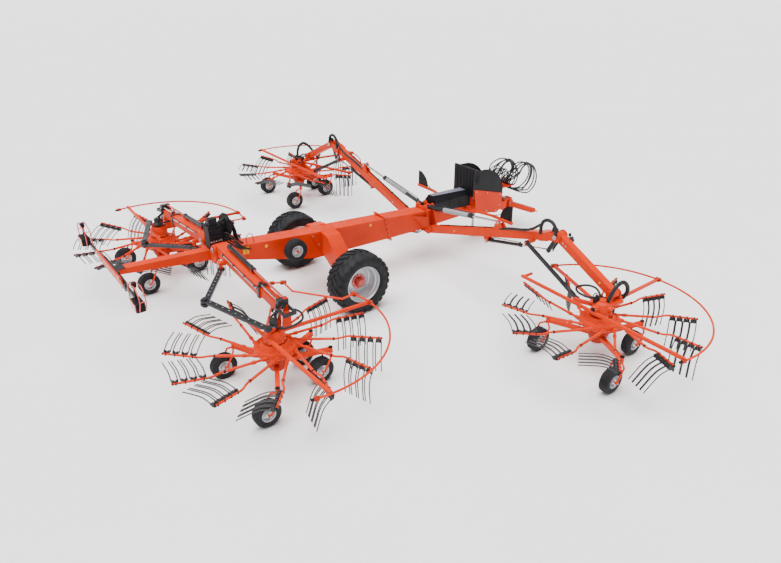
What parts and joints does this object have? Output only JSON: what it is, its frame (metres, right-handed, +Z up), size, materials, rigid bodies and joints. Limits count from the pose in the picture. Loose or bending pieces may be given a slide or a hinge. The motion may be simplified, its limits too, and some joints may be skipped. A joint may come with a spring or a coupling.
{
  "type": "four-rotor rotary rake",
  "caption": "Trailed rotary hay rake, unfolded for work: tined reels on wheeled carriages, hung from folding front arms and sliding rear arms on a long beam",
  "frame": {"origin": "on the ground under the middle of the machine's box", "axes": "+X forward to the hitch, +Y left across the working width, +Z up"},
  "size_m": [9.72, 13.194, 1.995],
  "materials": {
    "orange_paint": "satin powder coat",
    "dark_paint": "satin",
    "silver_paint": "satin",
    "zinc_steel": "zinc plated",
    "chrome_rod": "polished",
    "black_plastic": "matte",
    "hose_rubber": "matte",
    "tyre": "matte",
    "rubber": "matte"
  },
  "bodies": {
    "chassis": {"main_frame": "orange_paint", "driveline_cover": "black_plastic", "front_shield": "orange_paint", "rear_light_bar": "orange_paint", "spare_wheel": "rubber", "hydraulic_block": "black_plastic", "parking_stand": "zinc_steel", "hose_bundle": "hose_rubber", "marker_plates": "black_plastic"},
    "headstock": {"headstock": "orange_paint"},
    "main_wheel_left": {"main_tyre_left": "tyre", "main_rim_left": "silver_paint"},
    "front_arm_left": {"front_arm_left": "orange_paint"},
    "front_outer_arm_left": {"front_outer_arm_left": "orange_paint"},
    "front_link_left": {"front_link_left": "dark_paint"},
    "lift_barrel_left": {"lift_barrel_left": "dark_paint"},
    "lift_rod_left": {"lift_rod_left": "chrome_rod"},
    "knee_barrel_left": {"knee_barrel_left": "dark_paint"},
    "knee_rod_left": {"knee_rod_left": "chrome_rod"},
    "carriage_front_left": {"carriage_front_left": "orange_paint"},
    "rear_arm_left": {"rear_arm_left": "orange_paint"},
    "rear_slide_left": {"rear_slide_left": "orange_paint", "carriage_rear_left": "orange_paint"},
    "rear_link_inner_left": {"rear_link_inner_left": "dark_paint"},
    "rear_link_outer_left": {"rear_link_outer_left": "dark_paint"},
    "reel_front_left": {"reel_front_left": "orange_paint"},
    "wheel_front_left_1": {"wheel_front_left_1": "rubber"},
    "wheel_front_left_2": {"wheel_front_left_2": "rubber"},
    "wheel_front_left_3": {"wheel_front_left_3": "rubber"},
    "wheel_front_left_4": {"wheel_front_left_4": "rubber"},
    "reel_rear_left": {"reel_rear_left": "orange_paint"},
    "wheel_rear_left_1": {"wheel_rear_left_1": "rubber"},
    "wheel_rear_left_2": {"wheel_rear_left_2": "rubber"},
    "wheel_rear_left_3": {"wheel_rear_left_3": "rubber"},
    "wheel_rear_left_4": {"wheel_rear_left_4": "rubber"},
    "main_wheel_right": {"main_tyre_right": "tyre", "main_rim_right": "silver_paint"},
    "front_arm_right": {"front_arm_right": "orange_paint"},
    "front_outer_arm_right": {"front_outer_arm_right": "orange_paint"},
    "front_link_right": {"front_link_right": "dark_paint"},
    "lift_barrel_right": {"lift_barrel_right": "dark_paint"},
    "lift_rod_right": {"lift_rod_right": "chrome_rod"},
    "knee_barrel_right": {"knee_barrel_right": "dark_paint"},
    "knee_rod_right": {"knee_rod_right": "chrome_rod"},
    "carriage_front_right": {"carriage_front_right": "orange_paint"},
    "rear_arm_right": {"rear_arm_right": "orange_paint"},
    "rear_slide_right": {"rear_slide_right": "orange_paint", "carriage_rear_right": "orange_paint"},
    "rear_link_inner_right": {"rear_link_inner_right": "dark_paint"},
    "rear_link_outer_right": {"rear_link_outer_right": "dark_paint"},
    "reel_front_right": {"reel_front_right": "orange_paint"},
    "wheel_front_right_1": {"wheel_front_right_1": "rubber"},
    "wheel_front_right_2": {"wheel_front_right_2": "rubber"},
    "wheel_front_right_3": {"wheel_front_right_3": "rubber"},
    "wheel_front_right_4": {"wheel_front_right_4": "rubber"},
    "reel_rear_right": {"reel_rear_right": "orange_paint"},
    "wheel_rear_right_1": {"wheel_rear_right_1": "rubber"},
    "wheel_rear_right_2": {"wheel_rear_right_2": "rubber"},
    "wheel_rear_right_3": {"wheel_rear_right_3": "rubber"},
    "wheel_rear_right_4": {"wheel_rear_right_4": "rubber"}
  },
  "joints": [
    {"name": "hitch_yaw", "type": "hinge", "parent": "chassis", "child": "headstock", "pos_m": [4.15, 0, 0.65], "axis": [0, 0, 1], "range_deg": [-45, 45]},
    {"name": "main_wheel_left_spin", "type": "hinge", "parent": "chassis", "child": "main_wheel_left", "pos_m": [-0.8, 1.2, 0.585], "axis": [0, 1, 0], "continuous": true},
    {"name": "front_lift_left", "type": "hinge", "parent": "chassis", "child": "front_arm_left", "pos_m": [1.75, 0.25, 0.68], "axis": [1, 0, 0], "range_deg": [0, 70]},
    {"name": "front_knee_left", "type": "hinge", "parent": "front_arm_left", "child": "front_outer_arm_left", "pos_m": [1.75, 3.644, 1.683], "axis": [1, 0, 0], "range_deg": [0, 18]},
    {"name": "front_link_left_swing", "type": "hinge", "parent": "front_arm_left", "child": "front_link_left", "pos_m": [1.555, 3.1, 1.42], "axis": [1, 0, 0], "range_deg": [0, 18]},
    {"name": "front_level_left", "type": "hinge", "parent": "front_outer_arm_left", "child": "carriage_front_left", "pos_m": [1.75, 4.87, 1.08], "axis": [1, 0, 0], "range_deg": [-18, 0]},
    {"name": "lift_barrel_left_swing", "type": "hinge", "parent": "chassis", "child": "lift_barrel_left", "pos_m": [1.75, 0.12, 1.14], "axis": [1, 0, 0], "range_deg": [0, 78.95]},
    {"name": "lift_rod_left_slide", "type": "slide", "parent": "lift_barrel_left", "child": "lift_rod_left", "axis": [0, 0.9873, 0.1591], "range_m": [-0.46259, 0]},
    {"name": "knee_barrel_left_swing", "type": "hinge", "parent": "front_arm_left", "child": "knee_barrel_left", "pos_m": [1.75, 1.95, 1.015], "axis": [1, 0, 0], "range_deg": [-2, 0]},
    {"name": "knee_rod_left_slide", "type": "slide", "parent": "knee_barrel_left", "child": "knee_rod_left", "axis": [0, 0.9748, 0.223], "range_m": [0, 0.09729]},
    {"name": "rear_lift_left", "type": "hinge", "parent": "chassis", "child": "rear_arm_left", "pos_m": [-3, 0.25, 1.5], "axis": [1, 0, 0], "range_deg": [0, 60]},
    {"name": "rear_telescope_left", "type": "slide", "parent": "rear_arm_left", "child": "rear_slide_left", "axis": [0, -0.9962, 0.0872], "range_m": [0, 0.5]},
    {"name": "rear_link_inner_left_swing", "type": "hinge", "parent": "rear_arm_left", "child": "rear_link_inner_left", "pos_m": [-3.15, 0.56131, 1.272], "axis": [0, -0.0872, -0.9962], "range_deg": [-24.13, 0]},
    {"name": "rear_link_outer_left_swing", "type": "hinge", "parent": "rear_link_inner_left", "child": "rear_link_outer_left", "pos_m": [-3.8, 1.41156, 1.23777], "axis": [0, -0.0872, -0.9962], "range_deg": [0, 39.03]},
    {"name": "reel_front_left_spin", "type": "hinge", "parent": "carriage_front_left", "child": "reel_front_left", "pos_m": [1.414, 4.92, 0.615], "axis": [0, 0, -1], "continuous": true},
    {"name": "wheel_front_left_1_spin", "type": "hinge", "parent": "carriage_front_left", "child": "wheel_front_left_1", "pos_m": [0.841, 5.66, 0.215], "axis": [0, 1, 0], "continuous": true},
    {"name": "wheel_front_left_2_spin", "type": "hinge", "parent": "carriage_front_left", "child": "wheel_front_left_2", "pos_m": [0.841, 4.18, 0.215], "axis": [0, 1, 0], "continuous": true},
    {"name": "wheel_front_left_3_spin", "type": "hinge", "parent": "carriage_front_left", "child": "wheel_front_left_3", "pos_m": [2.019, 5.19, 0.215], "axis": [0, 1, 0], "continuous": true},
    {"name": "wheel_front_left_4_spin", "type": "hinge", "parent": "carriage_front_left", "child": "wheel_front_left_4", "pos_m": [2.019, 4.59, 0.215], "axis": [0, 1, 0], "continuous": true},
    {"name": "reel_rear_left_spin", "type": "hinge", "parent": "rear_slide_left", "child": "reel_rear_left", "pos_m": [-3.194, 2.5, 0.615], "axis": [0, 0, -1], "continuous": true},
    {"name": "wheel_rear_left_1_spin", "type": "hinge", "parent": "rear_slide_left", "child": "wheel_rear_left_1", "pos_m": [-3.767, 3.24, 0.215], "axis": [0, 1, 0], "continuous": true},
    {"name": "wheel_rear_left_2_spin", "type": "hinge", "parent": "rear_slide_left", "child": "wheel_rear_left_2", "pos_m": [-3.767, 1.76, 0.215], "axis": [0, 1, 0], "continuous": true},
    {"name": "wheel_rear_left_3_spin", "type": "hinge", "parent": "rear_slide_left", "child": "wheel_rear_left_3", "pos_m": [-2.589, 2.77, 0.215], "axis": [0, 1, 0], "continuous": true},
    {"name": "wheel_rear_left_4_spin", "type": "hinge", "parent": "rear_slide_left", "child": "wheel_rear_left_4", "pos_m": [-2.589, 2.17, 0.215], "axis": [0, 1, 0], "continuous": true},
    {"name": "main_wheel_right_spin", "type": "hinge", "parent": "chassis", "child": "main_wheel_right", "pos_m": [-0.8, -1.2, 0.585], "axis": [0, 1, 0], "continuous": true},
    {"name": "front_lift_right", "type": "hinge", "parent": "chassis", "child": "front_arm_right", "pos_m": [1.75, -0.25, 0.68], "axis": [-1, 0, 0], "range_deg": [0, 70]},
    {"name": "front_knee_right", "type": "hinge", "parent": "front_arm_right", "child": "front_outer_arm_right", "pos_m": [1.75, -3.644, 1.683], "axis": [-1, 0, 0], "range_deg": [0, 18]},
    {"name": "front_link_right_swing", "type": "hinge", "parent": "front_arm_right", "child": "front_link_right", "pos_m": [1.555, -3.1, 1.42], "axis": [-1, 0, 0], "range_deg": [0, 18]},
    {"name": "front_level_right", "type": "hinge", "parent": "front_outer_arm_right", "child": "carriage_front_right", "pos_m": [1.75, -4.87, 1.08], "axis": [-1, 0, 0], "range_deg": [-18, 0]},
    {"name": "lift_barrel_right_swing", "type": "hinge", "parent": "chassis", "child": "lift_barrel_right", "pos_m": [1.75, -0.12, 1.14], "axis": [-1, 0, 0], "range_deg": [0, 78.95]},
    {"name": "lift_rod_right_slide", "type": "slide", "parent": "lift_barrel_right", "child": "lift_rod_right", "axis": [0, -0.9873, 0.1591], "range_m": [-0.46259, 0]},
    {"name": "knee_barrel_right_swing", "type": "hinge", "parent": "front_arm_right", "child": "knee_barrel_right", "pos_m": [1.75, -1.95, 1.015], "axis": [-1, 0, 0], "range_deg": [-2, 0]},
    {"name": "knee_rod_right_slide", "type": "slide", "parent": "knee_barrel_right", "child": "knee_rod_right", "axis": [0, -0.9748, 0.223], "range_m": [0, 0.09729]},
    {"name": "rear_lift_right", "type": "hinge", "parent": "chassis", "child": "rear_arm_right", "pos_m": [-3, -0.25, 1.5], "axis": [-1, 0, 0], "range_deg": [0, 60]},
    {"name": "rear_telescope_right", "type": "slide", "parent": "rear_arm_right", "child": "rear_slide_right", "axis": [0, 0.9962, 0.0872], "range_m": [0, 0.5]},
    {"name": "rear_link_inner_right_swing", "type": "hinge", "parent": "rear_arm_right", "child": "rear_link_inner_right", "pos_m": [-3.15, -0.56131, 1.272], "axis": [0, -0.0872, 0.9962], "range_deg": [-24.13, 0]},
    {"name": "rear_link_outer_right_swing", "type": "hinge", "parent": "rear_link_inner_right", "child": "rear_link_outer_right", "pos_m": [-3.8, -1.41156, 1.23777], "axis": [0, -0.0872, 0.9962], "range_deg": [0, 39.03]},
    {"name": "reel_front_right_spin", "type": "hinge", "parent": "carriage_front_right", "child": "reel_front_right", "pos_m": [1.414, -4.92, 0.615], "axis": [0, 0, 1], "continuous": true},
    {"name": "wheel_front_right_1_spin", "type": "hinge", "parent": "carriage_front_right", "child": "wheel_front_right_1", "pos_m": [0.841, -5.66, 0.215], "axis": [0, 1, 0], "continuous": true},
    {"name": "wheel_front_right_2_spin", "type": "hinge", "parent": "carriage_front_right", "child": "wheel_front_right_2", "pos_m": [0.841, -4.18, 0.215], "axis": [0, 1, 0], "continuous": true},
    {"name": "wheel_front_right_3_spin", "type": "hinge", "parent": "carriage_front_right", "child": "wheel_front_right_3", "pos_m": [2.019, -5.19, 0.215], "axis": [0, 1, 0], "continuous": true},
    {"name": "wheel_front_right_4_spin", "type": "hinge", "parent": "carriage_front_right", "child": "wheel_front_right_4", "pos_m": [2.019, -4.59, 0.215], "axis": [0, 1, 0], "continuous": true},
    {"name": "reel_rear_right_spin", "type": "hinge", "parent": "rear_slide_right", "child": "reel_rear_right", "pos_m": [-3.194, -2.5, 0.615], "axis": [0, 0, 1], "continuous": true},
    {"name": "wheel_rear_right_1_spin", "type": "hinge", "parent": "rear_slide_right", "child": "wheel_rear_right_1", "pos_m": [-3.767, -3.24, 0.215], "axis": [0, 1, 0], "continuous": true},
    {"name": "wheel_rear_right_2_spin", "type": "hinge", "parent": "rear_slide_right", "child": "wheel_rear_right_2", "pos_m": [-3.767, -1.76, 0.215], "axis": [0, 1, 0], "continuous": true},
    {"name": "wheel_rear_right_3_spin", "type": "hinge", "parent": "rear_slide_right", "child": "wheel_rear_right_3", "pos_m": [-2.589, -2.77, 0.215], "axis": [0, 1, 0], "continuous": true},
    {"name": "wheel_rear_right_4_spin", "type": "hinge", "parent": "rear_slide_right", "child": "wheel_rear_right_4", "pos_m": [-2.589, -2.17, 0.215], "axis": [0, 1, 0], "continuous": true}
  ],
  "couplings": [
    {"joint": "front_link_left_swing", "follows": "front_knee_left", "ratio": 1},
    {"joint": "front_level_left", "follows": "front_knee_left", "ratio": -1},
    {"joint": "lift_barrel_left_swing", "follows": "front_lift_left", "ratio": 1.1278},
    {"joint": "lift_rod_left_slide", "follows": "front_lift_left", "m_per_rad": -0.37823},
    {"joint": "knee_barrel_left_swing", "follows": "front_knee_left", "ratio": -0.11069},
    {"joint": "knee_rod_left_slide", "follows": "front_knee_left", "m_per_rad": 0.30811},
    {"joint": "rear_link_inner_left_swing", "follows": "rear_telescope_left", "rad_per_m": -0.84042},
    {"joint": "rear_link_outer_left_swing", "follows": "rear_telescope_left", "rad_per_m": 1.3606},
    {"joint": "front_link_right_swing", "follows": "front_knee_right", "ratio": 1},
    {"joint": "front_level_right", "follows": "front_knee_right", "ratio": -1},
    {"joint": "lift_barrel_right_swing", "follows": "front_lift_right", "ratio": 1.1278},
    {"joint": "lift_rod_right_slide", "follows": "front_lift_right", "m_per_rad": -0.37823},
    {"joint": "knee_barrel_right_swing", "follows": "front_knee_right", "ratio": -0.11069},
    {"joint": "knee_rod_right_slide", "follows": "front_knee_right", "m_per_rad": 0.30811},
    {"joint": "rear_link_inner_right_swing", "follows": "rear_telescope_right", "rad_per_m": -0.84042},
    {"joint": "rear_link_outer_right_swing", "follows": "rear_telescope_right", "rad_per_m": 1.3606}
  ]
}
